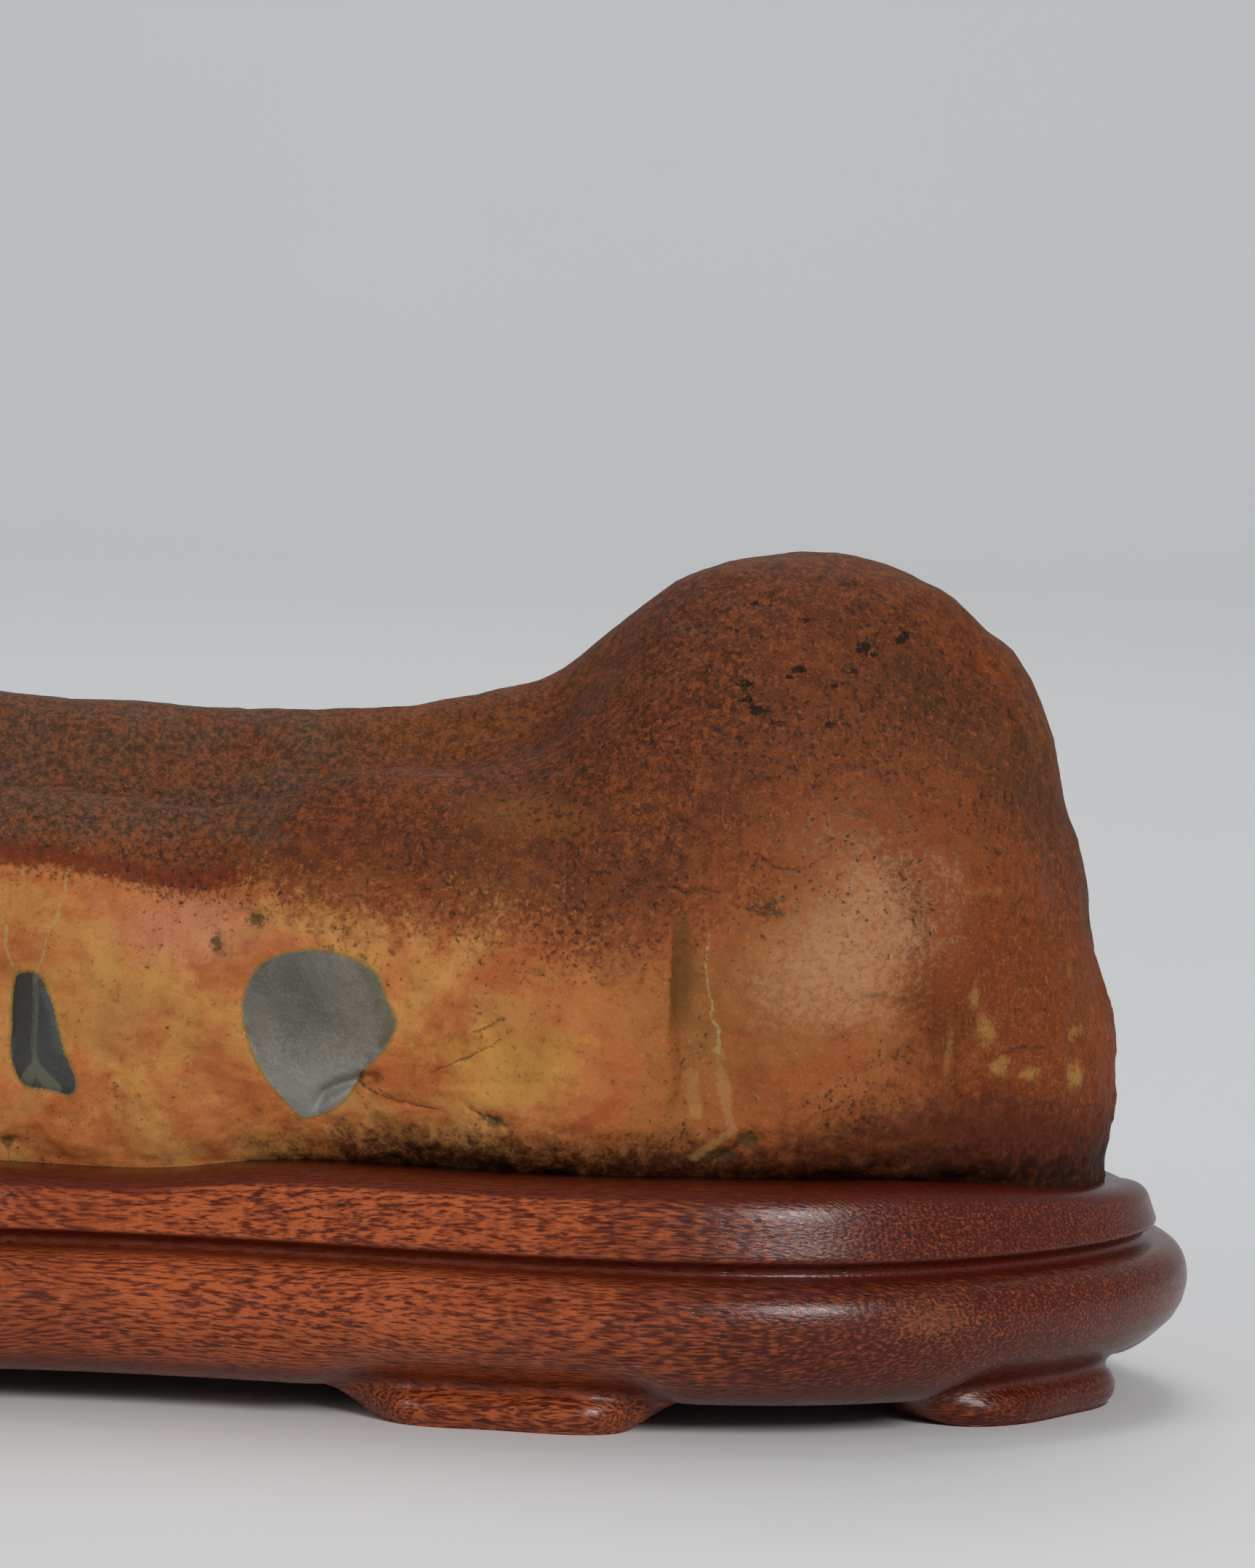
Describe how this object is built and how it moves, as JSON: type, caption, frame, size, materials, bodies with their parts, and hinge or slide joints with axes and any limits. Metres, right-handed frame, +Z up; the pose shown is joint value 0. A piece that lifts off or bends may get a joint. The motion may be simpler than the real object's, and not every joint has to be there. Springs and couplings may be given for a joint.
{
  "type": "scholars rock on a wooden stand",
  "caption": "Long river-worn stone with a low basin and a rounded dome at one end, seated in a carved hardwood stand with a rounded ledge, a bulging belly and low feet.",
  "frame": {"origin": "middle of the stand's footprint, on the surface that it stands on", "axes": "+X along the stand, towards the end with the stone's dome; +Y from front to back; +Z up"},
  "size_m": [0.153, 0.0602, 0.0606],
  "materials": {
    "stone": "water-worn, waxed by handling, satin; orange face under a dark brown skin, with dark grey-green inclusions",
    "stand_wood": "carved reddish rosewood, oiled to a soft gloss"
  },
  "bodies": {
    "root": {"stone": "stone", "stand": "stand_wood"}
  },
  "joints": []
}
